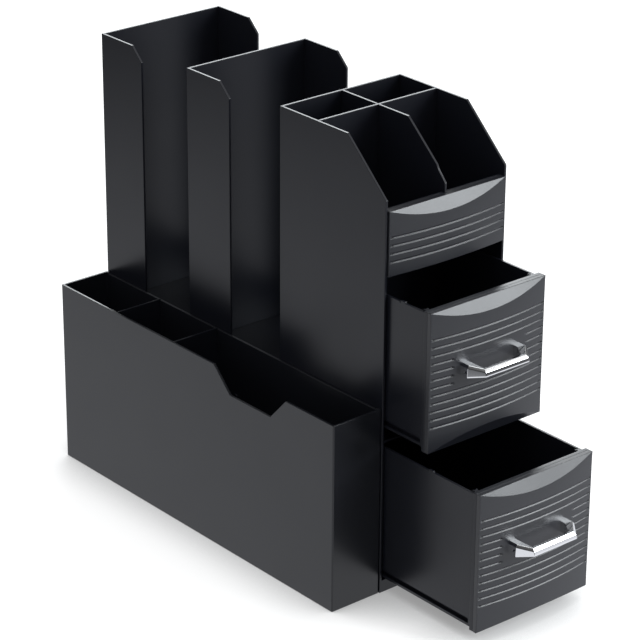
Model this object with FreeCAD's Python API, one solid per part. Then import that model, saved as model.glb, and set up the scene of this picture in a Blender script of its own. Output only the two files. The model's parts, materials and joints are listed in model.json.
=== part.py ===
import FreeCAD, Part
import os
from FreeCAD import Vector
from math import hypot

# Coffee station organizer: a tall narrow tower with two open wells for cups and lids behind
# a cabinet with four top compartments and two drawers, and a long bin on its left side.
# Millimetres. X runs across the front with the middle of the tower at 0, Z runs up from the
# floor. While modelling, Y counts back from the tower's front edge; at export every piece
# moves forward by half the depth, which puts the origin on the floor under the middle.

# Driving dimensions of the tower
WIDTH = 150.0
DEPTH = 434.0
HEIGHT = 454.0
WALL = 2.5
PAD_PROUD = 0.5
DECK_TOP = 13.5
PLINTH_SIDE_TOP = 17.5
SHELF_BOTTOM = 160.0
CABINET_DEPTH = 151.0
MIDDLE_WALL_BACK = 294.0

# Access slots in the side panels, from the front of one well wall to the next
SLOT_BOTTOM = 178.0
SLOT_CORNER = 6.0
SLOT_LENGTHS = ((151.0, 228.0), (294.0, 368.0))
TINE_CHAMFER_RUN = 15.0
TINE_CHAMFER_DROP = 14.0
SLANT_BACK = 54.5
SLANT_DROP = 50.0

# Top compartments
FLOOR_BOTTOM = 325.0
CROSS_DIVIDER_MIDDLE = 97.5
LAP_GAP = 0.1
FOOT_FRONT = 1.9
FOOT_TOP = 402.9
DIVIDER_TOE = ((13.8, 417.8), (12.1, 414.2))

# Bowed fronts: the fascia and the two drawer fronts share one outline
FRONT_HALF_WIDTH = 72.0
FRONT_BOW = 6.0
FRONT_SKIN = 2.4
FRONT_PROUD = 2.0
RIM_DEPTH = 9.2
FACET_DROP = 12.7
EDGE_ROUND = 1.0
GROOVE_DEPTH = 1.0
GROOVE_HALF_HEIGHT = 1.2
GROOVE_PITCH = 8.05
GROOVE_SWEEP = 30.0
GROOVE_END = 70.4

FASCIA_BOTTOM = 329.5
FASCIA_HEIGHT = 64.0
FASCIA_RISE = 1.0
FASCIA_FIRST_GROOVE = 26.0
FASCIA_GROOVES = 4

FIRST_GROOVE = 27.0
DRAWER_GROOVES = 12
SHORT_GROOVES = (3, 4, 5, 6)
HANDLE_BELOW_TOP = 62.6
PLAIN_HALF_WIDTH = 45.0

# Drawer trays and the runners that carry and stop them
TRAY_HALF_WIDTH = 70.5
TRAY_FRONT_WALL = 4.6
TRACK_DEPTH = 3.5
TRACK_BOTTOM = 3.0
TRACK_TOP = 8.0
TRACK_START = 3.5
RUNNER_BOTTOM = 3.6
RUNNER_TOP = 7.6
RUNNER_WIDTH = 4.5
STOP_GAP = 0.3
SIDE_DROP = 2.2
TAB_LENGTH = 6.0
TAB_RISE = 1.2
WEB_LEG = 6.6
WEB_RISE = 1.2
WEB_TOOTH_HALF_WIDTH = 0.7
WEB_TOOTH_REACH = 1.9

DRAWERS = {
    "upper": {"bottom": 171.3, "height": 141.1, "rise": 13.0, "lift": 3.7, "length": 148.0,
              "open": 58.0, "travel": 95.0, "tab": 36.7},
    "lower": {"bottom": 14.0, "height": 143.0, "rise": 4.0, "lift": 2.0, "length": 414.0,
              "open": 129.5, "travel": 300.0, "tab": 64.9},
}

# Handles: rigid pulls with five-sided bars, as plan points (half spacing, reach)
HANDLE_RIDGE = ((38.2, 3.6), (38.2, 14.2), (27.4, 28.0), (0.0, 28.0))
HANDLE_THICKNESS = (10.0, 10.2, 7.8, 7.8)
HANDLE_HALF_HEIGHT = (6.1, 6.1, 3.6, 3.6)
HANDLE_SLOPE_HEIGHT = 2.8
HANDLE_SLOPE_DEPTH = 1.9
HANDLE_FOOT_DEPTH = 0.6
HANDLE_BACK_TAPER = 0.9
HANDLE_ROUND = 0.4
HANDLE_SCREW_X = 33.0

# Side bin
BIN_GAP = 0.3
BIN_WIDTH = 59.0
BIN_FRONT = 1.0
BIN_TOP = 196.0
BIN_INNER_DROP = 1.5
BIN_CORNER = 1.5
BIN_DIVIDERS = {"bin_rear_divider": 341.0, "bin_front_divider": 247.0}
BIN_DIVIDER_DROP = 0.5
BIN_DIVIDER_THICKNESS = 2.0
BIN_NOTCH = ((180.0, 196.0), (155.0, 171.5), (93.5, 171.5), (70.7, 196.0))
CHANNEL = 1.0

# Joints between pieces, fasteners and feet
JOINT_REACH = 1.5
JOINT_LENGTH = 20.0
JOINT_GAP = 0.1
TAB_SHARES = (0.22, 0.78)
RIB_SHARES = (0.25, 0.5, 0.75)
TONGUE_FRONTS = (125.0, 262.0, 390.0)
TONGUE_LENGTH = 16.0
TONGUE_THICKNESS = 1.3
TONGUE_TOP = 30.0
BARB_REACH = 1.2
BARB_HEIGHT = 2.0
PEG_RADIUS = 1.5
RIVET_PLACES = tuple((y, z) for y in (40.0, 217.0, 394.0) for z in (40.0, 130.0))
RIVET_RADIUS = 2.1
RIVET_HEAD = 4.0
RIVET_HEAD_HEIGHT = 1.2
FASCIA_SCREWS = tuple((x, z) for x in (-50.0, 50.0) for z in (15.5, 45.0))
FRONT_SCREW_X = 58.0
FRONT_SCREW_INSET = 35.0
FRONT_SCREW = {"shank": 1.4, "pilot": 1.3, "clearance": 1.6, "boss": 3.6, "head": 3.0, "head_height": 1.8}
HANDLE_SCREW = {"shank": 1.5, "pilot": 1.4, "clearance": 1.7, "boss": 6.0, "head": 3.2, "head_height": 2.0}
PILOT_END = 0.4
TIP_GAP = 0.2
RECESS_REACH = 0.6
RECESS_HALF_WIDTH = 0.14
RECESS_DEPTH = 0.6
PAD_RADIUS = 6.0
PAD_THICKNESS = 1.5
PAD_INSET = 13.0

HALF = WIDTH / 2
INSIDE = HALF - WALL
SHELF_TOP = SHELF_BOTTOM + WALL
FLOOR_TOP = FLOOR_BOTTOM + WALL
FASCIA_BACK = RIM_DEPTH - WALL
FASCIA_TOP = FASCIA_BOTTOM + FASCIA_HEIGHT
BIN_INNER = -HALF - BIN_GAP
BIN_OUTER = -HALF - BIN_WIDTH
CABINET_INSIDE = CABINET_DEPTH - WALL
OVER = 1.0

# Plates that span the tower between its side panels: front, back, bottom, top
CROSS_PLATES = {
    "rear_wall": (DEPTH - WALL, DEPTH, DECK_TOP, HEIGHT),
    "middle_wall": (MIDDLE_WALL_BACK - WALL, MIDDLE_WALL_BACK, SHELF_TOP, HEIGHT),
    "cabinet_back_wall": (CABINET_INSIDE, CABINET_DEPTH, SHELF_TOP, HEIGHT),
    "mid_shelf": (0.0, DEPTH - WALL, SHELF_BOTTOM, SHELF_TOP),
    "compartment_floor": (FASCIA_BACK - FRONT_PROUD, CABINET_INSIDE, FLOOR_BOTTOM, FLOOR_TOP),
    "compartment_front_wall": (FASCIA_BACK - FRONT_PROUD, RIM_DEPTH - FRONT_PROUD, FLOOR_TOP, FASCIA_TOP),
    "cross_divider": (CROSS_DIVIDER_MIDDLE - WALL / 2, CROSS_DIVIDER_MIDDLE + WALL / 2, FLOOR_TOP, HEIGHT),
}

# Feet under the tower's corners, its middle and the bin's outer side
PAD_PLACES = [(side * (HALF - PAD_INSET), y) for side in (-1, 1) for y in (PAD_INSET, DEPTH - PAD_INSET)]
PAD_PLACES.append((0.0, DEPTH / 2))
BIN_PAD_PLACES = [(BIN_OUTER + PAD_INSET, y) for y in (2 * PAD_INSET, DEPTH - 2 * PAD_INSET)]


def block(x0, x1, y0, y1, z0, z1):
    """A box between two values on each axis."""
    return Part.makeBox(x1 - x0, y1 - y0, z1 - z0, Vector(x0, y0, z0))


def prism(points, direction):
    """A straight-sided solid on a closed polygon."""
    return Part.Face(Part.makePolygon(points + points[:1])).extrude(direction)


def side_prism(outline, x0, x1):
    """A solid with its outline in the (Y, Z) plane."""
    return prism([Vector(x0, y, z) for y, z in outline], Vector(x1 - x0, 0, 0))


def rod_x(radius, x0, x1, y, z):
    return Part.makeCylinder(radius, x1 - x0, Vector(x0, y, z), Vector(1, 0, 0))


def rod_y(radius, y0, y1, x, z):
    return Part.makeCylinder(radius, y1 - y0, Vector(x, y0, z), Vector(0, 1, 0))


def rod_z(radius, z0, z1, x, y):
    return Part.makeCylinder(radius, z1 - z0, Vector(x, y, z0))


def mirrored(shape):
    return shape.mirror(Vector(0, 0, 0), Vector(1, 0, 0))


def both_sides(shape):
    return [shape, mirrored(shape)]


def fused(shapes):
    first, rest = shapes[0], list(shapes[1:])
    return first.fuse(rest).removeSplitter()


def edges_along(shape, axis, test):
    """The straight edges of a shape that run along one axis and start where a test holds."""
    chosen = []
    for edge in shape.Edges:
        start, end = edge.Vertexes[0].Point, edge.Vertexes[-1].Point
        run = end - start
        if run.Length > OVER and abs(abs(run[axis]) - run.Length) < 1e-6 and test(start):
            chosen.append(edge)
    return chosen


# Tower shell


def joint_tabs(span, gap):
    """Two tabs on the right edge of a cross plate, or their pockets when gap is above zero."""
    y0, y1, z0, z1 = span
    upright = z1 - z0 > y1 - y0
    low, high = (z0, z1) if upright else (y0, y1)
    half = min(JOINT_LENGTH, (high - low) / 4) / 2 + gap
    tip = INSIDE + JOINT_REACH + gap
    tabs = []
    for share in TAB_SHARES:
        middle = low + share * (high - low)
        start, end = middle - half, middle + half
        if upright:
            tabs.append(block(INSIDE, tip, y0 - gap, y1 + gap, start, end))
        else:
            tabs.append(block(INSIDE, tip, start, end, z0 - gap, z1 + gap))
    return tabs


def cross_plate(name):
    """A flat plate between the side panels, with tabs that enter their pockets."""
    span = CROSS_PLATES[name]
    plate = block(-INSIDE, INSIDE, *span)
    tabs = [side for tab in joint_tabs(span, 0.0) for side in both_sides(tab)]
    return fused([plate] + tabs)


def slot_cutter(front, back):
    """The access slot of one well, with the chamfer on the tine behind it."""
    top = HEIGHT + OVER
    shoulder = HEIGHT - TINE_CHAMFER_DROP
    outline = [(front, SLOT_BOTTOM), (back, SLOT_BOTTOM), (back, shoulder),
               (back + TINE_CHAMFER_RUN, HEIGHT), (back + TINE_CHAMFER_RUN, top), (front, top)]
    cutter = side_prism(outline, INSIDE - OVER, HALF + OVER)
    low_edges = edges_along(cutter, 0, lambda start: start.z < SLOT_BOTTOM + OVER)
    return cutter.makeFillet(SLOT_CORNER, low_edges)


def tongue(front):
    """A snap tongue that passes through the deck and hooks under it."""
    back = front + TONGUE_LENGTH
    deck_bottom = DECK_TOP - WALL
    barb_top = deck_bottom - JOINT_GAP
    barb_bottom = barb_top - BARB_HEIGHT
    strap = block(INSIDE - TONGUE_THICKNESS, INSIDE, front, back, barb_bottom, TONGUE_TOP)
    barb_inside = INSIDE - TONGUE_THICKNESS - BARB_REACH
    barb = block(barb_inside, INSIDE - TONGUE_THICKNESS, front, back, barb_bottom, barb_top)
    return strap.fuse(barb)


def side_panel():
    """The right side panel: a flat comb with two slots and a slanted front corner."""
    plate = block(INSIDE, HALF, 0.0, DEPTH, PLINTH_SIDE_TOP, HEIGHT)
    spare = SLANT_DROP / SLANT_BACK * OVER
    slant = [(-OVER, HEIGHT - SLANT_DROP - spare), (SLANT_BACK + OVER, HEIGHT + spare),
             (-OVER, HEIGHT + spare)]
    cutters = [side_prism(slant, INSIDE - OVER, HALF + OVER)]
    cutters += [slot_cutter(front, back) for front, back in SLOT_LENGTHS]
    for span in CROSS_PLATES.values():
        cutters += joint_tabs(span, JOINT_GAP)
    for drawer in DRAWERS.values():
        cutters += runner_pegs(drawer, JOINT_GAP)
    return fused([plate.cut(cutters)] + [tongue(front) for front in TONGUE_FRONTS])


def left_side_panel():
    holes = [rod_x(RIVET_RADIUS + JOINT_GAP, -HALF - OVER, -INSIDE + OVER, y, z) for y, z in RIVET_PLACES]
    return mirrored(side_panel()).cut(holes)


def base_plinth():
    """A ribbed deck on a skirt: side walls a little higher, slots for the panels' tongues."""
    deck_bottom = DECK_TOP - WALL
    pocket_top = PAD_THICKNESS
    body = block(-HALF, HALF, 0.0, DEPTH, PAD_PROUD, PLINTH_SIDE_TOP)
    above = block(-INSIDE, INSIDE, -OVER, DEPTH + OVER, DECK_TOP, PLINTH_SIDE_TOP + OVER)
    below = block(-INSIDE, INSIDE, WALL, DEPTH - WALL, 0.0, deck_bottom)
    shell = body.cut([above, below])
    ribs = [block(-WALL / 2, WALL / 2, WALL, DEPTH - WALL, PAD_PROUD, deck_bottom)]
    for share in RIB_SHARES:
        middle = share * DEPTH
        ribs.append(block(-INSIDE, INSIDE, middle - WALL / 2, middle + WALL / 2, PAD_PROUD, deck_bottom))
    ribs += [rod_z(PAD_RADIUS + WALL, PAD_PROUD, deck_bottom, x, y) for x, y in PAD_PLACES]
    cutters = [rod_z(PAD_RADIUS, 0.0, pocket_top, x, y) for x, y in PAD_PLACES]
    slot_inside = INSIDE - TONGUE_THICKNESS - BARB_REACH - JOINT_GAP
    for front in TONGUE_FRONTS:
        slot = block(slot_inside, INSIDE, front - JOINT_GAP, front + TONGUE_LENGTH + JOINT_GAP,
                     deck_bottom - OVER, DECK_TOP + OVER)
        cutters += both_sides(slot)
    return fused([shell] + ribs).cut(cutters)


def lap_slot(across, bottom, top):
    """The half-lap slot where the two dividers of the top compartments cross."""
    half = WALL / 2 + LAP_GAP
    if across:
        return block(-half, half, 0.0, CABINET_DEPTH, bottom, top)
    return block(-WALL, WALL, CROSS_DIVIDER_MIDDLE - half, CROSS_DIVIDER_MIDDLE + half, bottom, top)


def cross_divider():
    lap_top = (FLOOR_TOP + HEIGHT) / 2 + LAP_GAP
    return cross_plate("cross_divider").cut(lap_slot(True, FLOOR_TOP - OVER, lap_top))


def long_divider():
    """The divider along the middle, slanted like the panels, its toe standing on the fascia."""
    back_of_fascia = RIM_DEPTH - FRONT_PROUD
    outline = [(CABINET_INSIDE, FLOOR_TOP), (CABINET_INSIDE, HEIGHT), (SLANT_BACK, HEIGHT),
               *DIVIDER_TOE, (FOOT_FRONT, FOOT_TOP), (FOOT_FRONT, FASCIA_TOP),
               (back_of_fascia, FASCIA_TOP), (back_of_fascia, FLOOR_TOP)]
    plate = side_prism(outline, -WALL / 2, WALL / 2)
    lap_bottom = (FLOOR_TOP + HEIGHT) / 2 - LAP_GAP
    return plate.cut(lap_slot(False, lap_bottom, HEIGHT + OVER))


# Bowed fronts. Their own frame has Y = 0 on the straight side edges and Z = 0 at the bottom.


def bow_reach(x):
    """How far the bowed face stands in front of its side edges."""
    return FRONT_BOW * (1 - (x / FRONT_HALF_WIDTH) ** 2)


def bow_radius():
    return (FRONT_HALF_WIDTH ** 2 + FRONT_BOW ** 2) / (2 * FRONT_BOW)


def bowed_block(height, back, rise, inset):
    """A block with a bowed face, a slanted top facet and a slanted bottom facet."""
    half = FRONT_HALF_WIDTH - inset
    side, nose = inset, inset - FRONT_BOW
    arc = Part.Arc(Vector(-half, side, inset), Vector(0, nose, inset), Vector(half, side, inset)).toShape()
    rim = Part.makePolygon([Vector(half, side, inset), Vector(half, back, inset),
                            Vector(-half, back, inset), Vector(-half, side, inset)])
    solid = Part.Face(Part.Wire([arc] + rim.Edges)).extrude(Vector(0, 0, height - 2 * inset))
    if inset == 0.0:
        solid = solid.makeFillet(EDGE_ROUND, edges_along(solid, 2, lambda start: start.y < OVER / 2))
    far = 2 * FRONT_BOW
    wide = FRONT_HALF_WIDTH + OVER
    top_facet = [(inset, height), (inset - far, height - 2 * FACET_DROP), (inset - far, height)]
    bottom_facet = [(inset, 0.0), (inset - far, 2 * rise), (inset - far, 0.0)]
    return solid.cut([side_prism(top_facet, -wide, wide), side_prism(bottom_facet, -wide, wide)])


def groove_ring(height):
    """A V-shaped ring that follows the bow at one height and ends just short of its sides."""
    radius = bow_radius()
    centre_y = radius - FRONT_BOW
    face = -FRONT_BOW
    spare = GROOVE_DEPTH / 2
    spread = GROOVE_HALF_HEIGHT * (GROOVE_DEPTH + spare) / GROOVE_DEPTH
    points = [Vector(0, face + GROOVE_DEPTH, height), Vector(0, face - spare, height + spread),
              Vector(0, face - spare, height - spread)]
    profile = Part.Face(Part.makePolygon(points + points[:1]))
    profile.rotate(Vector(0, centre_y, 0), Vector(0, 0, 1), -GROOVE_SWEEP / 2)
    ring = profile.revolve(Vector(0, centre_y, 0), Vector(0, 0, 1), GROOVE_SWEEP)
    span = block(-GROOVE_END, GROOVE_END, -2 * FRONT_BOW, RIM_DEPTH, height - FRONT_BOW, height + FRONT_BOW)
    return ring.common(span)


def groove_cutters(height, first, count, short):
    """Grooves counted down from the top; the short ones leave the middle plain and end in dots."""
    plain = block(-PLAIN_HALF_WIDTH, PLAIN_HALF_WIDTH, -2 * FRONT_BOW, RIM_DEPTH, -OVER, height + OVER)
    cutters = []
    for index in range(count):
        level = height - first - index * GROOVE_PITCH
        ring = groove_ring(level)
        if index not in short:
            cutters.append(ring)
            continue
        cutters.append(ring.cut(plain))
        face = -bow_reach(PLAIN_HALF_WIDTH)
        for x in (-PLAIN_HALF_WIDTH, PLAIN_HALF_WIDTH):
            cutters.append(rod_y(GROOVE_DEPTH, face - OVER, face + GROOVE_DEPTH, x, level))
    return cutters


def screw_boss(x, z, back, screw, hole_radius, hole_end):
    """A boss behind the face that takes a screw from the back, and its hole."""
    face = -bow_reach(x) + FRONT_SKIN / 2
    return rod_y(screw["boss"], face, back, x, z), rod_y(hole_radius, hole_end, back + OVER, x, z)


def bowed_shell(height, back, rise, first, count, short, bosses):
    """A hollow bowed front with its grooves and bosses."""
    outer = bowed_block(height, back, rise, 0.0)
    hollow = bowed_block(height, back + OVER, rise, FRONT_SKIN)
    shell = fused([outer.cut(hollow)] + [boss for boss, hole in bosses])
    return shell.cut([hole for boss, hole in bosses] + groove_cutters(height, first, count, short))


def fascia():
    bosses = [screw_boss(x, z, FASCIA_BACK, FRONT_SCREW, FRONT_SCREW["pilot"], PILOT_END)
              for x, z in FASCIA_SCREWS]
    shell = bowed_shell(FASCIA_HEIGHT, FASCIA_BACK, FASCIA_RISE, FASCIA_FIRST_GROOVE,
                        FASCIA_GROOVES, (), bosses)
    return shell.translated(Vector(0, -FRONT_PROUD, FASCIA_BOTTOM))


def compartment_front_wall():
    wall = cross_plate("compartment_front_wall")
    hole = FRONT_SCREW["clearance"]
    return wall.cut([rod_y(hole, 0.0, RIM_DEPTH, x, FASCIA_BOTTOM + z) for x, z in FASCIA_SCREWS])


# Drawers. Each is made in its front's frame and then placed as far open as it stands.


def front_screw_places(drawer):
    levels = (FRONT_SCREW_INSET, drawer["height"] - FRONT_SCREW_INSET)
    return [(side * FRONT_SCREW_X, z) for side in (-1, 1) for z in levels]


def handle_screw_places(drawer):
    level = drawer["height"] - HANDLE_BELOW_TOP
    return [(side * HANDLE_SCREW_X, level) for side in (-1, 1)]


def drawer_front(drawer):
    """The bowed drawer front, with seats for the feet of the handle."""
    back = RIM_DEPTH - TRAY_FRONT_WALL
    bosses = [screw_boss(x, z, back, FRONT_SCREW, FRONT_SCREW["pilot"], PILOT_END)
              for x, z in front_screw_places(drawer)]
    bosses += [screw_boss(x, z, back, HANDLE_SCREW, HANDLE_SCREW["clearance"], -FRONT_BOW - OVER)
               for x, z in handle_screw_places(drawer)]
    shell = bowed_shell(drawer["height"], back, drawer["rise"], FIRST_GROOVE, DRAWER_GROOVES,
                        SHORT_GROOVES, bosses)
    return shell.cut(handle(drawer, False))


def handle_section(index):
    """One five-sided section of the handle: its ridge, near the top, and two edges each way."""
    ridge = [Vector(x, -reach, 0) for x, reach in HANDLE_RIDGE]
    normals = []
    for start, end in zip(ridge, ridge[1:]):
        run = end - start
        normals.append(Vector(run.y, -run.x, 0) / hypot(run.x, run.y))
    before = normals[max(index - 1, 0)]
    after = normals[min(index, len(normals) - 1)]
    mitre = (before + after) / (1 + before.dot(after))
    back = ridge[index] + mitre * HANDLE_THICKNESS[index]
    rise = Vector(0, 0, HANDLE_HALF_HEIGHT[index])
    back_rise = rise * HANDLE_BACK_TAPER
    crest = ridge[index] + rise - Vector(0, 0, HANDLE_SLOPE_HEIGHT)
    top = ridge[index] + mitre * HANDLE_SLOPE_DEPTH + rise
    foot = ridge[index] + mitre * HANDLE_FOOT_DEPTH - rise
    points = [crest, top, back + back_rise, back - back_rise, foot]
    return Part.makePolygon(points + points[:1])


def handle(drawer, drilled):
    """A rigid pull: two stout feet, legs that taper and lean inward, and a ridged bar."""
    half = Part.makeLoft([handle_section(index) for index in range(len(HANDLE_RIDGE))], True, True)
    pull = fused(both_sides(half))
    pull = pull.makeFillet(HANDLE_ROUND, pull.Edges) if drilled else pull
    pull = pull.translated(Vector(0, 0, drawer["height"] - HANDLE_BELOW_TOP))
    if not drilled:
        return pull
    reach = HANDLE_RIDGE[1][1]
    places = handle_screw_places(drawer)
    return pull.cut([rod_y(HANDLE_SCREW["pilot"], -reach, 0.0, x, z) for x, z in places])


def screw_holes(places, screw):
    return [rod_y(screw["clearance"], 0.0, RIM_DEPTH + OVER, x, z) for x, z in places]


def corner_web(corner, bottom, top):
    """A thin web across the front corner of a tray, with a small tooth on its slanted edge."""
    middle = Vector(corner - WEB_LEG / 2, RIM_DEPTH + WEB_LEG / 2, bottom)
    along = Vector(WEB_TOOTH_HALF_WIDTH, WEB_TOOTH_HALF_WIDTH, 0)
    inward = Vector(-WEB_TOOTH_REACH, WEB_TOOTH_REACH, 0)
    points = [Vector(corner, RIM_DEPTH, bottom), Vector(corner, RIM_DEPTH + WEB_LEG, bottom), middle + along,
              middle + along + inward, middle - along + inward, middle - along,
              Vector(corner - WEB_LEG, RIM_DEPTH, bottom)]
    return prism(points, Vector(0, 0, top - bottom))


def tray(drawer):
    """The open box of a drawer: a track along each side for its runners, a thin web across each
    front corner, and one small tab on its left wall."""
    front = RIM_DEPTH - TRAY_FRONT_WALL
    end, low = drawer["length"], drawer["lift"]
    side_top = drawer["height"] - SIDE_DROP
    half = TRAY_HALF_WIDTH
    box = block(-half, half, front, end, low, side_top)
    front_wall = block(-FRONT_HALF_WIDTH, FRONT_HALF_WIDTH, front, RIM_DEPTH, 0.0, drawer["height"])
    tab_back = drawer["tab"] + TAB_LENGTH
    tab = block(half - WALL, half, drawer["tab"], tab_back, side_top, side_top + TAB_RISE)
    wide_from = low + TRACK_TOP + WALL
    narrow = half - TRACK_DEPTH - WALL
    cutters = [block(WALL - half, half - WALL, RIM_DEPTH, end - WALL, wide_from, side_top + OVER),
               block(-narrow, narrow, RIM_DEPTH, end - WALL, low + WALL, wide_from)]
    track = block(half - TRACK_DEPTH, half + OVER, RIM_DEPTH + TRACK_START, end - WALL,
                  low + TRACK_BOTTOM, low + TRACK_TOP)
    nick = block(half - WALL - OVER, half + OVER, tab_back, tab_back + TAB_RISE,
                 side_top - TAB_RISE, side_top + OVER)
    web = corner_web(half - WALL, side_top - WALL, side_top + WEB_RISE)
    cutters += both_sides(track) + [mirrored(nick)]
    cutters += screw_holes(front_screw_places(drawer), FRONT_SCREW)
    cutters += screw_holes(handle_screw_places(drawer), HANDLE_SCREW)
    box = fused([box, front_wall, mirrored(tab)]).cut(cutters)
    return fused([box] + both_sides(web))


def pan_screws(places, seat, tip, screw):
    """Pan-head screws that point forward, with cross recesses in their heads."""
    head, top = screw["head"], seat + screw["head_height"]
    arm, slim = head * RECESS_REACH, head * RECESS_HALF_WIDTH
    floor = top - screw["head_height"] * RECESS_DEPTH
    screws = []
    for x, z in places:
        solid = fused([rod_y(screw["shank"], tip, seat, x, z), rod_y(head, seat, top, x, z)])
        recess = [block(x - arm, x + arm, floor, top + OVER, z - slim, z + slim),
                  block(x - slim, x + slim, floor, top + OVER, z - arm, z + arm)]
        screws.append(solid.cut(recess))
    return Part.Compound(screws)


def fascia_screws():
    screws = pan_screws(FASCIA_SCREWS, RIM_DEPTH, PILOT_END + TIP_GAP, FRONT_SCREW)
    return screws.translated(Vector(0, -FRONT_PROUD, FASCIA_BOTTOM))


def runner_span(drawer):
    """Front and back of a runner: it fills the track but for the drawer's travel."""
    closed = -FRONT_PROUD
    front = closed + RIM_DEPTH + TRACK_START + STOP_GAP
    back = closed - drawer["travel"] + drawer["length"] - WALL - STOP_GAP
    return front, back


def runner_pegs(drawer, gap):
    """Two pegs on a right-hand runner, or their blind holes when gap is above zero."""
    front, back = runner_span(drawer)
    level = drawer["bottom"] + drawer["lift"] + (RUNNER_BOTTOM + RUNNER_TOP) / 2
    quarter = (back - front) / 4
    return [rod_x(PEG_RADIUS + gap, INSIDE, INSIDE + JOINT_REACH + gap, y, level)
            for y in (front + quarter, back - quarter)]


def runner(drawer):
    """A right-hand runner: a bar inside the drawer's track, pegged to the side panel."""
    front, back = runner_span(drawer)
    low = drawer["bottom"] + drawer["lift"]
    bar = block(INSIDE - RUNNER_WIDTH, INSIDE, front, back, low + RUNNER_BOTTOM, low + RUNNER_TOP)
    return fused([bar] + runner_pegs(drawer, 0.0))


# Side bin


def bin_divider_solid(middle, extra):
    """A thin divider that reaches into channels in both long walls."""
    reach = CHANNEL + extra
    half = BIN_DIVIDER_THICKNESS / 2 + extra
    return block(BIN_OUTER + WALL - reach, BIN_INNER - WALL + reach, middle - half, middle + half,
                 PAD_PROUD + WALL, BIN_TOP - BIN_DIVIDER_DROP)


def side_bin():
    """A long open bin with a notch in its outer wall and a slightly lower inner wall."""
    body = block(BIN_OUTER, BIN_INNER, BIN_FRONT, DEPTH, PAD_PROUD, BIN_TOP)
    body = body.makeFillet(BIN_CORNER, edges_along(body, 2, lambda start: True))
    cavity = block(BIN_OUTER + WALL, BIN_INNER - WALL, BIN_FRONT + WALL, DEPTH - WALL,
                   PAD_PROUD + WALL, BIN_TOP + OVER)
    cavity = cavity.makeFillet(BIN_CORNER, edges_along(cavity, 2, lambda start: True))
    inner_top = block(BIN_INNER - WALL - OVER, BIN_INNER + OVER, BIN_FRONT + 2 * WALL, DEPTH - 2 * WALL,
                      BIN_TOP - BIN_INNER_DROP, BIN_TOP + OVER)
    notch = list(BIN_NOTCH) + [(BIN_NOTCH[-1][0], BIN_TOP + OVER), (BIN_NOTCH[0][0], BIN_TOP + OVER)]
    cutters = [cavity, inner_top, side_prism(notch, BIN_OUTER - OVER, BIN_OUTER + WALL + OVER)]
    cutters += [bin_divider_solid(middle, JOINT_GAP) for middle in BIN_DIVIDERS.values()]
    cutters += [rod_x(RIVET_RADIUS + JOINT_GAP, BIN_INNER - WALL - OVER, BIN_INNER + OVER, y, z)
                for y, z in RIVET_PLACES]
    cutters += [rod_z(PAD_RADIUS, 0.0, PAD_THICKNESS, x, y) for x, y in BIN_PAD_PLACES]
    return body.cut(cutters)


def bin_rivet(y, z):
    """A push rivet through the bin's inner wall and the side panel."""
    bin_wall = BIN_INNER - WALL
    return fused([rod_x(RIVET_RADIUS, bin_wall, -INSIDE, y, z),
                  rod_x(RIVET_HEAD, bin_wall - RIVET_HEAD_HEIGHT, bin_wall, y, z),
                  rod_x(RIVET_HEAD, -INSIDE, -INSIDE + RIVET_HEAD_HEIGHT, y, z)])


def rubber_pads():
    places = PAD_PLACES + BIN_PAD_PLACES
    return Part.Compound([rod_z(PAD_RADIUS, 0.0, PAD_THICKNESS, x, y) for x, y in places])


def drawer_pieces(name, drawer):
    """The moving pieces of one drawer, placed as far open as it stands."""
    place = Vector(0, -FRONT_PROUD - drawer["open"], drawer["bottom"])
    front_tip, handle_tip = PILOT_END + TIP_GAP, TIP_GAP - HANDLE_RIDGE[1][1]
    pieces = {
        "tray": tray(drawer),
        "front": drawer_front(drawer),
        "handle": handle(drawer, True),
        "front_screws": pan_screws(front_screw_places(drawer), RIM_DEPTH, front_tip, FRONT_SCREW),
        "handle_screws": pan_screws(handle_screw_places(drawer), RIM_DEPTH, handle_tip, HANDLE_SCREW),
    }
    return {name + "_" + piece: shape.translated(place) for piece, shape in pieces.items()}


def build_pieces():
    pieces = {name: cross_plate(name) for name in CROSS_PLATES}
    pieces["cross_divider"] = cross_divider()
    pieces["compartment_front_wall"] = compartment_front_wall()
    pieces["long_divider"] = long_divider()
    pieces["base_plinth"] = base_plinth()
    pieces["right_side_panel"] = side_panel()
    pieces["left_side_panel"] = left_side_panel()
    pieces["fascia"] = fascia()
    pieces["fascia_screws"] = fascia_screws()
    pieces["side_bin"] = side_bin()
    for name, middle in BIN_DIVIDERS.items():
        pieces[name] = bin_divider_solid(middle, 0.0)
    pieces["bin_rivets"] = Part.Compound([bin_rivet(y, z) for y, z in RIVET_PLACES])
    pieces["rubber_pads"] = rubber_pads()
    for name, drawer in DRAWERS.items():
        pieces[name + "_right_runner"] = runner(drawer)
        pieces[name + "_left_runner"] = mirrored(runner(drawer))
        pieces.update(drawer_pieces(name, drawer))
    return {name: shape.translated(Vector(0, -DEPTH / 2, 0)) for name, shape in pieces.items()}


PIECES = build_pieces()
os.makedirs("parts", exist_ok=True)
for piece_name, piece_shape in PIECES.items():
    piece_shape.exportStep("parts/" + piece_name + ".step")
    print(piece_name, "valid" if piece_shape.isValid() else "NOT VALID", len(piece_shape.Solids), "solids",
          round(piece_shape.Volume / 1000, 2), "cm3")
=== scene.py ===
# %% [markdown]
# # A coffee station organizer, dressed for its portrait
#
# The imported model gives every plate, drawer and screw at its real size. This lesson gives them
# their finish: soft moulded edges, grooved fronts, chrome pulls and a satin black plastic.
# Everything is in metres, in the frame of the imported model: X across the drawers, Y to the back,
# Z up from the table.

# %% Load the fixed frame
import json
from math import asin, cos, radians, sin

import bmesh
import bpy
from mathutils import Matrix, Vector


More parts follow.
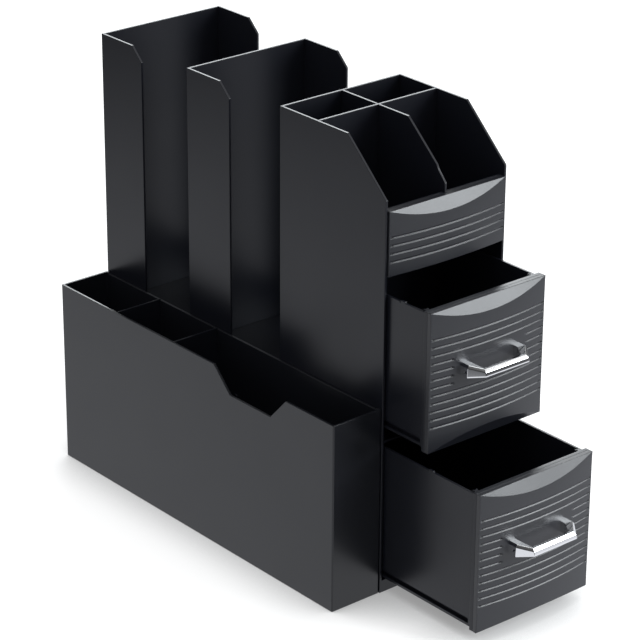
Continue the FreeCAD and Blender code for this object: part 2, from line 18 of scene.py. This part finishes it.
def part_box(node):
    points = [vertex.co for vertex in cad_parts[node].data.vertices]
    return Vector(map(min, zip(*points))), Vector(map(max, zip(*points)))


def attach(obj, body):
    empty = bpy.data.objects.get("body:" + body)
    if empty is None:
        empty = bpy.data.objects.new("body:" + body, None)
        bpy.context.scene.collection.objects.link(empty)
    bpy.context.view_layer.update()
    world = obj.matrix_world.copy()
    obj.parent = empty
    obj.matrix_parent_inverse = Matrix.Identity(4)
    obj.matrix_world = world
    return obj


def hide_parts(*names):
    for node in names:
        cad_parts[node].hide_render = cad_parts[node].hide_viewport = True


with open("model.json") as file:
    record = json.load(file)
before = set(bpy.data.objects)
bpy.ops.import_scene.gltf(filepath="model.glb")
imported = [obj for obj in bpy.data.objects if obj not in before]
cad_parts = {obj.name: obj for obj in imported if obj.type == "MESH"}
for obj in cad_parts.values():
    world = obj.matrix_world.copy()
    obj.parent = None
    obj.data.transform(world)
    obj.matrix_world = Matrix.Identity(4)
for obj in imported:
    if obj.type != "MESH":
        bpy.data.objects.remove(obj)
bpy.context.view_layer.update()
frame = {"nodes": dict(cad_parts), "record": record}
NODES = frame["nodes"]
BODIES = frame["record"]["behaviour"]["bodies"]
BODY_OF = {node: body for body, members in BODIES.items() for node in members}

# %% [markdown]
# ## Pieces that ride on the model
#
# Each moulding of the real organizer goes wherever its drawer goes, or stays with the tower. The
# dressed pieces could be linked up one by one, but a helper that turns a finished mesh into an
# object, seats it on its body and hides the parts it replaces treats all of them alike. Smooth
# shading alone would bend the light over flat walls, so a second helper lets large faces set the
# normals.

# %% Units and small helpers
MM = 0.001
LARGE_FACE_WEIGHT = 60


def put(mesh, name, material, body, replaced=()):
    """Turns a finished bmesh into a piece that rides on a body."""
    data = bpy.data.meshes.new(name)
    mesh.to_mesh(data)
    mesh.free()
    data.polygons.foreach_set("use_smooth", [True] * len(data.polygons))
    data.materials.append(material)
    piece = bpy.data.objects.new(name, data)
    bpy.context.scene.collection.objects.link(piece)
    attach(piece, body)
    if replaced:
        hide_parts(*replaced)
    return piece


def flatten_shading(piece):
    """Lets large faces set the normals, so that flat walls look flat between round edges."""
    weigh = piece.modifiers.new("even_normals", "WEIGHTED_NORMAL")
    weigh.mode = "FACE_AREA"
    weigh.weight = LARGE_FACE_WEIGHT
    return piece


print("a millimetre is", MM, "units")

# %% [markdown]
# ## Surface effects
#
# Moulded plastic is never a mirror. The mould leaves a grain of a few tenths of a millimetre, and
# the flow of the plastic leaves broad patches that are a little duller. A picture of the surface
# could be wrapped round each piece, but two noises in a node group need no unwrapping, and each
# plastic and each metal takes what it needs from them.

# %% Helpers for node trees
def new_group(name, inputs, outputs):
    group = bpy.data.node_groups.new(name, "ShaderNodeTree")
    for label, kind, value in inputs:
        socket = group.interface.new_socket(label, in_out="INPUT", socket_type=kind)
        socket.default_value = value
    for label, kind in outputs:
        group.interface.new_socket(label, in_out="OUTPUT", socket_type=kind)
    return group


def node(tree, kind, **settings):
    made = tree.nodes.new(kind)
    for key, value in settings.items():
        setattr(made, key, value)
    return made


def new_material(name):
    """A material, its node tree and its principled surface."""
    material = bpy.data.materials.new(name)
    material.use_nodes = True
    return material, material.node_tree, material.node_tree.nodes["Principled BSDF"]


# %% A node group for the grain of a mould
GRAIN_SCALE, GRAIN_DETAIL = 2600.0, 3.0
PATCH_SCALE, PATCH_DETAIL = 14.0, 2.0


def mould_grain_group():
    group = new_group("mould_grain", [("Scale", "NodeSocketFloat", GRAIN_SCALE),
                                      ("Patch Scale", "NodeSocketFloat", PATCH_SCALE)],
                      [("Grain", "NodeSocketFloat"), ("Patches", "NodeSocketFloat")])
    start = node(group, "NodeGroupInput")
    end = node(group, "NodeGroupOutput")
    place = node(group, "ShaderNodeTexCoord")
    fine = node(group, "ShaderNodeTexNoise")
    fine.inputs["Detail"].default_value = GRAIN_DETAIL
    broad = node(group, "ShaderNodeTexNoise")
    broad.inputs["Detail"].default_value = PATCH_DETAIL
    link = group.links.new
    link(place.outputs["Object"], fine.inputs["Vector"])
    link(place.outputs["Object"], broad.inputs["Vector"])
    link(start.outputs["Scale"], fine.inputs["Scale"])
    link(start.outputs["Patch Scale"], broad.inputs["Scale"])
    link(fine.outputs["Fac"], end.inputs["Grain"])
    link(broad.outputs["Fac"], end.inputs["Patches"])
    return group


MOULD_GRAIN = mould_grain_group()
print("group", MOULD_GRAIN.name)

# %% [markdown]
# ## Black plastics
#
# The organizer is black all over, but its parts don't shine alike. The bowed fronts and the bin
# mirror more of the room than the tower does. The shelf at the foot of the wells is the dullest,
# and its colour is darker too, which is painted shade, because the portrait is dark there. Each
# could have its own tree of nodes, but only a few numbers differ, so one function makes them all,
# and the rubber of the pads as well.

# %% A plastic material from the group
GRAIN_DEPTH = 0.00004
GRAIN_STRENGTH = 0.25
PATCH_ROUGHNESS = 0.05
DARK_TINT, PALE_TINT = 0.94, 1.06
PLASTIC_IOR = 1.49


def plastic(name, colour, dull, gloss, depth=GRAIN_DEPTH):
    """Satin plastic: the patches move its roughness a little, the grain its normal."""
    material, tree, surface = new_material(name)
    grain = node(tree, "ShaderNodeGroup", node_tree=MOULD_GRAIN)
    spread = node(tree, "ShaderNodeMapRange")
    spread.inputs["To Min"].default_value = dull - PATCH_ROUGHNESS
    spread.inputs["To Max"].default_value = dull + PATCH_ROUGHNESS
    tint = node(tree, "ShaderNodeMixRGB", blend_type="MIX")
    tint.inputs["Color1"].default_value = (*[c * DARK_TINT for c in colour], 1)
    tint.inputs["Color2"].default_value = (*[c * PALE_TINT for c in colour], 1)
    bump = node(tree, "ShaderNodeBump")
    bump.inputs["Strength"].default_value = GRAIN_STRENGTH
    bump.inputs["Distance"].default_value = depth
    link = tree.links.new
    link(grain.outputs["Patches"], spread.inputs["Value"])
    link(spread.outputs["Result"], surface.inputs["Roughness"])
    link(grain.outputs["Patches"], tint.inputs["Fac"])
    link(tint.outputs["Color"], surface.inputs["Base Color"])
    link(grain.outputs["Grain"], bump.inputs["Height"])
    link(bump.outputs["Normal"], surface.inputs["Normal"])
    surface.inputs["IOR"].default_value = PLASTIC_IOR
    surface.inputs["Specular IOR Level"].default_value = gloss
    return material


# %% The plastics of the organizer, and the rubber of its pads
BODY_PLASTIC = plastic("body_plastic", (0.0062, 0.0068, 0.0100), dull=0.30, gloss=0.36)
BIN_PLASTIC = plastic("bin_plastic", (0.0060, 0.0066, 0.0092), dull=0.32, gloss=0.52)
# The shelf's colour is darker than the body's: painted shade for the dark foot of the wells.
SHELF_PLASTIC_WITH_PAINTED_SHADE = plastic("shelf_plastic_with_painted_shade", (0.0045, 0.0050, 0.0075), dull=0.5, gloss=0.12)
FRONT_PLASTIC = plastic("front_plastic", (0.0075, 0.0083, 0.0118), dull=0.38, gloss=0.66)
RUBBER = plastic("pad_rubber", (0.02, 0.02, 0.02), dull=0.8, gloss=0.4, depth=0.0001)
for made in (BODY_PLASTIC, BIN_PLASTIC, SHELF_PLASTIC_WITH_PAINTED_SHADE, FRONT_PLASTIC, RUBBER):
    print("material", made.name)

# %% [markdown]
# ## Chrome and screw steel
#
# The pulls look plated. The screws are hidden, and are taken as zinc-coated steel. A metal has no
# colour under its shine, so its base colour is the tint of what it mirrors. One roughness all over
# would look too perfect, so the patches of the group make it a little uneven.

# %% A metal from the group
BRIGHT_PATCH, DULL_PATCH = 0.7, 1.3


def metal(name, colour, dull):
    material, tree, surface = new_material(name)
    grain = node(tree, "ShaderNodeGroup", node_tree=MOULD_GRAIN)
    spread = node(tree, "ShaderNodeMapRange")
    spread.inputs["To Min"].default_value = dull * BRIGHT_PATCH
    spread.inputs["To Max"].default_value = dull * DULL_PATCH
    tree.links.new(grain.outputs["Patches"], spread.inputs["Value"])
    tree.links.new(spread.outputs["Result"], surface.inputs["Roughness"])
    surface.inputs["Base Color"].default_value = (*colour, 1)
    surface.inputs["Metallic"].default_value = 1.0
    return material


CHROME = metal("chrome_plate", (0.84, 0.845, 0.86), dull=0.06)
STEEL = metal("zinc_steel", (0.55, 0.55, 0.56), dull=0.3)
print("metals", CHROME.name, STEEL.name)

# %% [markdown]
# ## Moulded edges
#
# A moulded or glued plate has no knife edge: each one is rounded by a few tenths of a millimetre
# and catches the light as a thin line. A bevel node in the material could fake that line, but a
# true rounding shows in the outline too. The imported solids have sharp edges, so a welded copy of
# each is bevelled and stands for it.

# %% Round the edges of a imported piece
WELD = 0.00001
FLAT_ANGLE = radians(0.5)
SHARP_ANGLE = radians(35)
EDGE_WIDTH = 0.35 * MM
EDGE_SEGMENTS = 2


def welded_copy(name):
    """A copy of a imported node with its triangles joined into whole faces."""
    mesh = bmesh.new()
    mesh.from_mesh(NODES[name].data)
    bmesh.ops.remove_doubles(mesh, verts=mesh.verts, dist=WELD)
    bmesh.ops.dissolve_limit(mesh, angle_limit=FLAT_ANGLE, verts=mesh.verts, edges=mesh.edges)
    return mesh


def edges_above(mesh, angle):
    return [edge for edge in mesh.edges if edge.is_manifold and edge.calc_face_angle() > angle]


def round_edges(mesh, edges, segments):
    bmesh.ops.bevel(mesh, geom=edges, offset=EDGE_WIDTH, offset_type="OFFSET", segments=segments,
                    profile=0.5, affect="EDGES", clamp_overlap=False, material=-1)


def dress(name, material):
    """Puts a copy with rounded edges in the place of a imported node."""
    mesh = welded_copy(name)
    round_edges(mesh, edges_above(mesh, SHARP_ANGLE), EDGE_SEGMENTS)
    piece = put(mesh, name + "_shell", material, BODY_OF[name], (name,))
    return flatten_shading(piece)


# %% Dress the plates, the bin and the trays
DRESSED = ["rear_wall", "middle_wall", "cabinet_back_wall", "mid_shelf", "compartment_floor",
           "compartment_front_wall", "cross_divider", "long_divider", "base_plinth",
           "left_side_panel", "right_side_panel", "side_bin", "bin_rear_divider",
           "bin_front_divider", "upper_tray", "lower_tray"]
# The shelf gets the darker plastic that carries painted shade; the bin gets its own finish.
FINISHES_AND_PAINTED_SHADE = {"side_bin": BIN_PLASTIC, "mid_shelf": SHELF_PLASTIC_WITH_PAINTED_SHADE}
for name in DRESSED:
    piece = dress(name, FINISHES_AND_PAINTED_SHADE.get(name, BODY_PLASTIC))
    print(name, len(piece.data.polygons), "faces")

# %% [markdown]
# ## Small pieces out of sight
#
# The screws, runners, rivets and pads hardly show. They could be rounded like the plates, but
# nobody would see it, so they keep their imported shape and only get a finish.

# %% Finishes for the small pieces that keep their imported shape
KEPT = [name for name in NODES if name.endswith(("screws", "runner", "rivets", "pads"))]


def kept_finish(name):
    if name.endswith("screws"):
        return STEEL
    return RUBBER if name.endswith("pads") else BODY_PLASTIC


for name in KEPT:
    packed = NODES[name].data
    packed.materials.clear()
    packed.materials.append(kept_finish(name))
print("kept as packed:", ", ".join(KEPT))

# %% [markdown]
# ## Bowed fronts
#
# Each front is a bowed plate with fine grooves, and a slanted facet is cut off its top. A flat
# grid could be bent, but one upright profile with the grooves in it, spun about the bow's own
# centre, gives every groove its smooth curve at once. Planes then cut the ends and the facets.

# %% The upright profile with its grooves
GROOVE_PITCH = 8.05 * MM
GROOVE_DEPTH = 1.0 * MM
GROOVE_SHAPE = [(1.6, 0.0), (1.2, 0.12), (0.55, 0.75), (0.05, 1.0), (-0.4, 0.8), (-0.95, 0.14),
                (-1.35, 0.0)]


def front_profile(top, bottom, levels):
    """Points of the face from top to bottom, as (depth, height)."""
    points = [(0.0, top)]
    for level in levels:
        points += [(depth * GROOVE_DEPTH, level + rise * MM) for rise, depth in GROOVE_SHAPE]
    return points + [(0.0, bottom)]


print("a groove has", len(GROOVE_SHAPE), "points")

# %% Spin the profile round the bow's centre
BOW = 6.0 * MM
BODY_BACK = 25.0 * MM
SPARE = 1.5 * MM
PLAIN_HALF = 45.0 * MM
GROOVE_END = 70.4 * MM
PIT_WIDTH = 0.75 * MM
GROOVED_STEPS, PLAIN_STEPS = 14, 45
# Each stop is a distance from the middle, with the number of steps that lead up to it.
SPIN_STOPS = [(-GROOVE_END, 1), (-GROOVE_END + PIT_WIDTH, 1), (-PLAIN_HALF - PIT_WIDTH, GROOVED_STEPS),
              (-PLAIN_HALF, 1), (PLAIN_HALF, PLAIN_STEPS), (PLAIN_HALF + PIT_WIDTH, 1),
              (GROOVE_END - PIT_WIDTH, GROOVED_STEPS), (GROOVE_END, 1)]


def spun_front(low, high, levels, radius, centre):
    """A bowed block with grooves all across, and rings of points where they will end."""
    mesh = bmesh.new()
    end = high.x + SPARE
    at = -asin(end / radius)
    ring = [(radius - depth, z) for depth, z in front_profile(high.z, low.z, levels)]
    ring += [(radius - BODY_BACK, low.z), (radius - BODY_BACK, high.z)]
    loop = [mesh.verts.new((reach * sin(at), centre.y - reach * cos(at), z)) for reach, z in ring]
    moving = loop + [mesh.edges.new((a, b)) for a, b in zip(loop, loop[1:] + loop[:1])]
    for stop, steps in SPIN_STOPS + [(end, 1)]:
        angle = asin(stop / radius)
        made = bmesh.ops.spin(mesh, geom=moving, cent=centre, axis=(0, 0, 1), angle=angle - at,
                              steps=steps)
        moving = made["geom_last"]
        at = angle
    return mesh


# %% [markdown]
# ## Where the grooves end
#
# The grooves stop short of the sides, and four of them also stop short of the pull. Each end shows
# as a small dark pit. The grooves could be cut one by one with rounded cutters, but it is simpler
# to push the points past an end out to the plain face, and to sink the points next to it.

# %% Fill the grooves past their ends, and sink a pit at each end
PIT_DEPTH = 2.2
TINY = 1e-6


def end_grooves(mesh, levels, short, radius, centre):
    for vert in mesh.verts:
        away = vert.co - centre
        reach = Vector((away.x, away.y)).length
        near = [index for index, level in enumerate(levels)
                if abs(vert.co.z - level) < GROOVE_PITCH / 2]
        if not near or radius - reach > 2 * GROOVE_DEPTH:
            continue
        along = radius * abs(away.x) / reach
        inner = PLAIN_HALF if near[0] in short else 0.0
        if along > GROOVE_END - TINY or (inner and along < inner + TINY):
            depth = 0.0
        elif along > GROOVE_END - 2 * PIT_WIDTH or (inner and along < inner + 2 * PIT_WIDTH):
            depth = PIT_DEPTH * (radius - reach)
        else:
            continue
        vert.co.x *= (radius - depth) / reach
        vert.co.y = centre.y + away.y * (radius - depth) / reach


print("a pit is", PIT_DEPTH, "times as deep as its groove")

# %% [markdown]
# ## Trim a front
#
# A front has square sides, a wide slanted facet on top and a smaller slant underneath. Wedges
# could be taken away with booleans, but a plane cut with its hole filled gives cleaner faces. Only
# the rims that lie on these planes are rounded, so that the grooves keep their own soft shape.

# %% Cut the sides, the back and both slants
FACET_DROP = 12.7 * MM
CUT_TOLERANCE = 1e-7


def cut(mesh, place, normal):
    """Cuts away what lies beyond a plane and closes the cut."""
    everything = mesh.verts[:] + mesh.edges[:] + mesh.faces[:]
    bmesh.ops.bisect_plane(mesh, geom=everything, dist=CUT_TOLERANCE, plane_co=place,
                           plane_no=normal, clear_outer=True)
    bmesh.ops.holes_fill(mesh, edges=[edge for edge in mesh.edges if edge.is_boundary], sides=0)


def trim_front(mesh, low, high, rise):
    """Cuts a front to its box and its slants, and returns the planes that hold its rims."""
    right = (Vector((high.x, 0, 0)), Vector((1, 0, 0)))
    left = (Vector((-high.x, 0, 0)), Vector((-1, 0, 0)))
    back = (Vector((0, high.y, 0)), Vector((0, 1, 0)))
    side_y = low.y + BOW
    facet = (Vector((0, side_y, high.z)), Vector((0, -FACET_DROP, BOW)).normalized())
    foot = (Vector((0, side_y, low.z)), Vector((0, -rise, -BOW)).normalized())
    for place, normal in (right, left, back, facet, foot):
        cut(mesh, place, normal)
    bmesh.ops.remove_doubles(mesh, verts=mesh.verts, dist=WELD)
    bmesh.ops.recalc_face_normals(mesh, faces=mesh.faces)
    top = (Vector((0, 0, high.z)), Vector((0, 0, 1)))
    bottom = (Vector((0, 0, low.z)), Vector((0, 0, 1)))
    return [facet, foot, right, left, top, bottom]


print("the facet drops", FACET_DROP / MM, "mm")

# %% Make the three fronts
RIM_ANGLE = radians(6)
RIM_SEGMENTS = 3
ON_PLANE = 2e-6
SHORT = (3, 4, 5, 6)


def lies_on(edge, planes):
    return any(all(abs((vert.co - place).dot(normal)) < ON_PLANE for vert in edge.verts)
               for place, normal in planes)


def bowed_front(name, first_groove, count, short, rise):
    """A front with its first groove that far below the top, and a lower slant of that rise."""
    low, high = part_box(name)
    radius = (high.x ** 2 + BOW ** 2) / (2 * BOW)
    centre = Vector((0, low.y + radius, 0))
    levels = [high.z - first_groove - index * GROOVE_PITCH for index in range(count)]
    mesh = spun_front(low, high, levels, radius, centre)
    end_grooves(mesh, levels, short, radius, centre)
    planes = trim_front(mesh, low, high, rise)
    rims = [edge for edge in edges_above(mesh, RIM_ANGLE) if lies_on(edge, planes)]
    round_edges(mesh, rims, RIM_SEGMENTS)
    piece = put(mesh, name + "_face", FRONT_PLASTIC, BODY_OF[name], (name,))
    print(name, len(piece.data.polygons), "faces")
    return flatten_shading(piece)


bowed_front("fascia", first_groove=26.0 * MM, count=4, short=(), rise=1.0 * MM)
bowed_front("upper_front", first_groove=27.0 * MM, count=12, short=SHORT, rise=13.0 * MM)
bowed_front("lower_front", first_groove=27.0 * MM, count=12, short=SHORT, rise=4.0 * MM)

# %% [markdown]
# ## Chrome pulls
#
# Each pull is one bar of six facets: a front that leans back, a slope above it, a narrow upright
# strip below it, and a flat top, bottom and back. Its legs lean inward from stout feet. A bar could
# be swept along a curve, but its section changes from bend to bend. Rings of six points at each
# bend, bridged into a skin and bevelled, keep the facets crisp, which makes the plating flash.

# %% The ring of six points at each bend
PULL_RIDGE = [(38.2, 3.6), (38.2, 14.2), (27.4, 28.0)]
PULL_THICKNESS = [10.0, 10.2, 7.8]
PULL_HALF_HEIGHT = [6.1, 6.1, 3.6]
PULL_SLOPE_DEPTH = [2.4, 2.4, 3.2]
SLOPE_HEIGHT, CREST_DEPTH = 2.6, 0.8
KNEE_HEIGHT, FOOT_DEPTH = 1.3, 0.1
BACK_TAPER = [0.9, 0.9, 0.68]


def bend_points(point, mitre, thick, rise, slope, taper):
    """Crest, top edge, upper back, lower back, foot and knee of a bend, in millimetres."""
    up = Vector((0, 0, rise))
    back = point + mitre * thick
    crest = point + mitre * CREST_DEPTH + up - Vector((0, 0, SLOPE_HEIGHT))
    knee = point - up + Vector((0, 0, KNEE_HEIGHT))
    return [crest, point + mitre * slope + up, back + up * taper, back - up * taper,
            point + mitre * FOOT_DEPTH - up, knee]


def pull_rings():
    """The points of all bends, from the right foot to the left one."""
    ridge = [Vector((x, -reach, 0)) for x, reach in PULL_RIDGE]
    ridge += [Vector((-point.x, point.y, 0)) for point in reversed(ridge)]
    sizes = list(zip(PULL_THICKNESS, PULL_HALF_HEIGHT, PULL_SLOPE_DEPTH, BACK_TAPER))
    runs = [(b - a).normalized() for a, b in zip(ridge, ridge[1:])]
    normals = [Vector((run.y, -run.x, 0)) for run in runs]
    rings = []
    for index, (point, size) in enumerate(zip(ridge, sizes + sizes[::-1])):
        before, after = normals[max(index - 1, 0)], normals[min(index, len(normals) - 1)]
        mitre = (before + after) / (1 + before.dot(after))
        rings.append(bend_points(point, mitre, *size))
    return rings


print("a pull has", len(pull_rings()), "rings")

# %% Bridge and bevel a pull
FACET_ANGLE = radians(10)
PULL_SEGMENTS = 3


def pull(name):
    low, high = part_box(name)
    middle = Vector((0, low.y + PULL_RIDGE[2][1] * MM, (low.z + high.z) / 2))
    mesh = bmesh.new()
    rings = []
    for points in pull_rings():
        verts = [mesh.verts.new(point * MM + middle) for point in points]
        rings.append([mesh.edges.new((a, b)) for a, b in zip(verts, verts[1:] + verts[:1])])
    for first, second in zip(rings, rings[1:]):
        bmesh.ops.bridge_loops(mesh, edges=first + second)
    bmesh.ops.holes_fill(mesh, edges=rings[0] + rings[-1], sides=0)
    bmesh.ops.recalc_face_normals(mesh, faces=mesh.faces)
    round_edges(mesh, edges_above(mesh, FACET_ANGLE), PULL_SEGMENTS)
    piece = put(mesh, name + "_bar", CHROME, BODY_OF[name], (name,))
    print(name, len(piece.data.polygons), "faces")
    return flatten_shading(piece)


pull("upper_handle")
pull("lower_handle")

# %% [markdown]
# ## A white floor
#
# Black plastic shows mostly what it mirrors, so the floor has three jobs. It lights the object as
# a matte white sheet, it is mirrored in the upright faces, and the camera sees it as a pale ground
# with a soft shadow where the object stands. The lamps cast part of that shadow, and the rest is
# painted shade: a glow that is weaker close to the object. One plain sheet could be used, but it
# can't be right for all three, so the floor answers each kind of ray with its own shader. In
# mirrors it fades with distance, which gives the tall walls their slow fade.

# %% A ramp, a product and a choice between two shaders
def ranged(tree, source, low, high, to_low, to_high):
    """A smooth ramp of a value between two ends."""
    ramp = node(tree, "ShaderNodeMapRange", interpolation_type="SMOOTHSTEP")
    ends = (("From Min", low), ("From Max", high), ("To Min", to_low), ("To Max", to_high))
    for label, value in ends:
        ramp.inputs[label].default_value = value
    tree.links.new(source, ramp.inputs["Value"])
    return ramp.outputs["Result"]


def product(tree, first, second):
    times = node(tree, "ShaderNodeMath", operation="MULTIPLY")
    tree.links.new(first, times.inputs[0])
    tree.links.new(second, times.inputs[1])
    return times.outputs["Value"]


def choose(tree, factor, first, second):
    """The first shader where the factor is 0, the second where it is 1."""
    mixer = node(tree, "ShaderNodeMixShader")
    tree.links.new(factor, mixer.inputs["Fac"])
    tree.links.new(first, mixer.inputs[1])
    tree.links.new(second, mixer.inputs[2])
    return mixer.outputs[0]


# %% What the camera sees of the floor, with a painted shadow round the object
SEEN_ALBEDO = 0.5
# The camera's glow drops near the object: a painted shadow, added to the lamps' real shadows on the
# matte sheet.
PAINTED_SHADOW_REACH = 0.07
PAINTED_SHADOW_SAMPLES = 8
PAINTED_SHADOW_AO_LOW, PAINTED_SHADOW_AO_HIGH = 0.35, 1.0
PAINTED_SHADOW_GLOW, OPEN_TONE = 0.26, 0.67


def matte(tree, tone):
    sheet = node(tree, "ShaderNodeBsdfDiffuse")
    sheet.inputs["Color"].default_value = (tone, tone, tone, 1)
    return sheet.outputs[0]


def seen_floor(tree):
    """A matte sheet with a glow that is weaker close to the object, where it paints a shadow."""
    # Ambient occlusion dims the glow close to the object, painting a shadow there.
    near = node(tree, "ShaderNodeAmbientOcclusion", samples=PAINTED_SHADOW_SAMPLES)
    near.inputs["Distance"].default_value = PAINTED_SHADOW_REACH
    glow = ranged(tree, near.outputs["AO"], PAINTED_SHADOW_AO_LOW, PAINTED_SHADOW_AO_HIGH, PAINTED_SHADOW_GLOW, OPEN_TONE)
    white = node(tree, "ShaderNodeEmission")
    tree.links.new(glow, white.inputs["Strength"])
    picture = node(tree, "ShaderNodeAddShader")
    tree.links.new(matte(tree, SEEN_ALBEDO), picture.inputs[0])
    tree.links.new(white.outputs[0], picture.inputs[1])
    return picture.outputs[0]


# %% What the plastic and the chrome mirror of the floor
MIRROR_NEAR, MIRROR_FAR = 0.6, 2.0
MIRROR_BRIGHT, MIRROR_DIM = 0.98, 0.1
LEFT_DIM, LEFT_END, RIGHT_END = 0.88, -0.08, 0.08
COOL_WHITE = (0.965, 0.985, 1.035)


def mirrored_floor(tree):
    """A cool glow that fades with distance, and is a little dimmer on the left."""
    place = node(tree, "ShaderNodeTexCoord")
    far = node(tree, "ShaderNodeVectorMath", operation="LENGTH")
    tree.links.new(place.outputs["Object"], far.inputs[0])
    fall = ranged(tree, far.outputs["Value"], MIRROR_NEAR, MIRROR_FAR, MIRROR_BRIGHT, MIRROR_DIM)
    split = node(tree, "ShaderNodeSeparateXYZ")
    tree.links.new(place.outputs["Object"], split.inputs["Vector"])
    side = ranged(tree, split.outputs["X"], LEFT_END, RIGHT_END, LEFT_DIM, 1.0)
    sheen = node(tree, "ShaderNodeEmission")
    sheen.inputs["Color"].default_value = (*COOL_WHITE, 1)
    tree.links.new(product(tree, fall, side), sheen.inputs["Strength"])
    return sheen.outputs[0]


# %% Lay the floor
FLOOR_SIZE = 6.0
FLOOR_ALBEDO = 0.8


def floor_material():
    material = bpy.data.materials.new("pale_floor")
    material.use_nodes = True
    tree = material.node_tree
    tree.nodes.clear()
    out = node(tree, "ShaderNodeOutputMaterial")
    path = node(tree, "ShaderNodeLightPath").outputs
    lit = choose(tree, path["Is Camera Ray"], matte(tree, FLOOR_ALBEDO), seen_floor(tree))
    whole = choose(tree, path["Is Glossy Ray"], lit, mirrored_floor(tree))
    tree.links.new(whole, out.inputs["Surface"])
    return material


def floor():
    mesh = bmesh.new()
    bmesh.ops.create_grid(mesh, x_segments=1, y_segments=1, size=FLOOR_SIZE)
    data = bpy.data.meshes.new("floor")
    mesh.to_mesh(data)
    mesh.free()
    data.materials.append(floor_material())
    plane = bpy.data.objects.new("floor", data)
    bpy.context.scene.collection.objects.link(plane)
    print("floor", 2 * FLOOR_SIZE, "m wide")


floor()

# %% [markdown]
# ## Lamps
#
# One large soft box at the front right draws the bright facets. A weak one hangs overhead to light
# the tops, and one stands behind on the right to light the edges from the back. Bare bulbs could
# be used, but their light is hard, and black plastic looks softer under wide lamps.

# %% Three soft boxes
LAMP_WHITE = (0.955, 1.0, 1.03)


def lamp(name, place, aim, size, power):
    light = bpy.data.lights.new(name, "AREA")
    light.shape = "RECTANGLE"
    light.size, light.size_y = size
    light.energy = power
    light.color = LAMP_WHITE
    holder = bpy.data.objects.new(name, light)
    holder.location = place
    holder.rotation_euler = (Vector(aim) - Vector(place)).to_track_quat("-Z", "Y").to_euler()
    bpy.context.scene.collection.objects.link(holder)
    print(name, power, "W")


lamp("front_box", place=(1.5, -2.05, 1.2), aim=(0.0, -0.2, 0.25), size=(1.4, 1.4), power=68)
lamp("top_box", place=(-0.6, -0.3, 2.4), aim=(0.0, 0.0, 0.0), size=(1.6, 1.6), power=14)
lamp("rim_box", place=(1.5, 1.8, 1.35), aim=(0.0, 0.0, 0.3), size=(1.3, 1.0), power=22)

# %% [markdown]
# ## The room
#
# A white room fills the shadows evenly. It could be white all round, but then the chrome would be
# plain white too. So in mirrors the room is dark near the horizon and on the left, which gives the
# pulls their dark lines. The camera itself sees plain white.

# %% White above, dark near the horizon in mirrors, white to the camera
ROOM_FILL = 0.7
HORIZON_DARK = 0.04
DARK_BELOW, WHITE_ABOVE = 0.25, 0.5
SIDE_DARK, SIDE_WHITE = -0.5, -0.1


def room():
    studio = bpy.data.worlds.new("studio")
    bpy.context.scene.world = studio
    studio.use_nodes = True
    tree = studio.node_tree
    link = tree.links.new
    back = tree.nodes["Background"]
    back.inputs["Color"].default_value = (1, 1, 1, 1)
    path = node(tree, "ShaderNodeLightPath")
    place = node(tree, "ShaderNodeTexCoord")
    split = node(tree, "ShaderNodeSeparateXYZ")
    link(place.outputs["Generated"], split.inputs["Vector"])
    height = ranged(tree, split.outputs["Z"], DARK_BELOW, WHITE_ABOVE, HORIZON_DARK, 1.0)
    side = ranged(tree, split.outputs["X"], SIDE_DARK, SIDE_WHITE, HORIZON_DARK, 1.0)
    gloss = node(tree, "ShaderNodeMix", data_type="FLOAT")
    gloss.inputs["A"].default_value = ROOM_FILL
    link(path.outputs["Is Glossy Ray"], gloss.inputs["Factor"])
    link(product(tree, height, side), gloss.inputs["B"])
    seen = node(tree, "ShaderNodeMix", data_type="FLOAT")
    seen.inputs["B"].default_value = 1.0
    link(path.outputs["Is Camera Ray"], seen.inputs["Factor"])
    link(gloss.outputs["Result"], seen.inputs["A"])
    link(seen.outputs["Result"], back.inputs["Strength"])
    print("room fill", ROOM_FILL)


room()

# %% [markdown]
# ## The camera
#
# The portrait looks from the front left and a little above, through a long lens. The camera could
# be placed by eye, but here it was fitted to corners that show in the portrait: a point to look
# at, a distance, two angles, a small roll and a lens. The standard view keeps white plain white.

# %% Place the camera
CAMERA_TARGET = Vector((-18.085, -58.634, 217.446)) * MM
CAMERA_DISTANCE = 2698.3 * MM
CAMERA_AZIMUTH = radians(-40.2215)
CAMERA_ELEVATION = radians(23.7256)
CAMERA_ROLL = radians(0.383)
CAMERA_LENS = 154.674
SENSOR_WIDTH = 36.0


def camera():
    data = bpy.data.cameras.new("camera")
    data.lens = CAMERA_LENS
    data.sensor_width = SENSOR_WIDTH
    holder = bpy.data.objects.new("camera", data)
    back = Vector((sin(CAMERA_AZIMUTH) * cos(CAMERA_ELEVATION),
                   -cos(CAMERA_AZIMUTH) * cos(CAMERA_ELEVATION), sin(CAMERA_ELEVATION)))
    turn = back.to_track_quat("Z", "Y").to_matrix().to_4x4()
    holder.matrix_world = (Matrix.Translation(CAMERA_TARGET + back * CAMERA_DISTANCE) @ turn
                           @ Matrix.Rotation(CAMERA_ROLL, 4, "Z"))
    bpy.context.scene.collection.objects.link(holder)
    bpy.context.scene.camera = holder
    print("camera lens", CAMERA_LENS, "mm")


camera()
bpy.context.scene.view_settings.view_transform = "Standard"
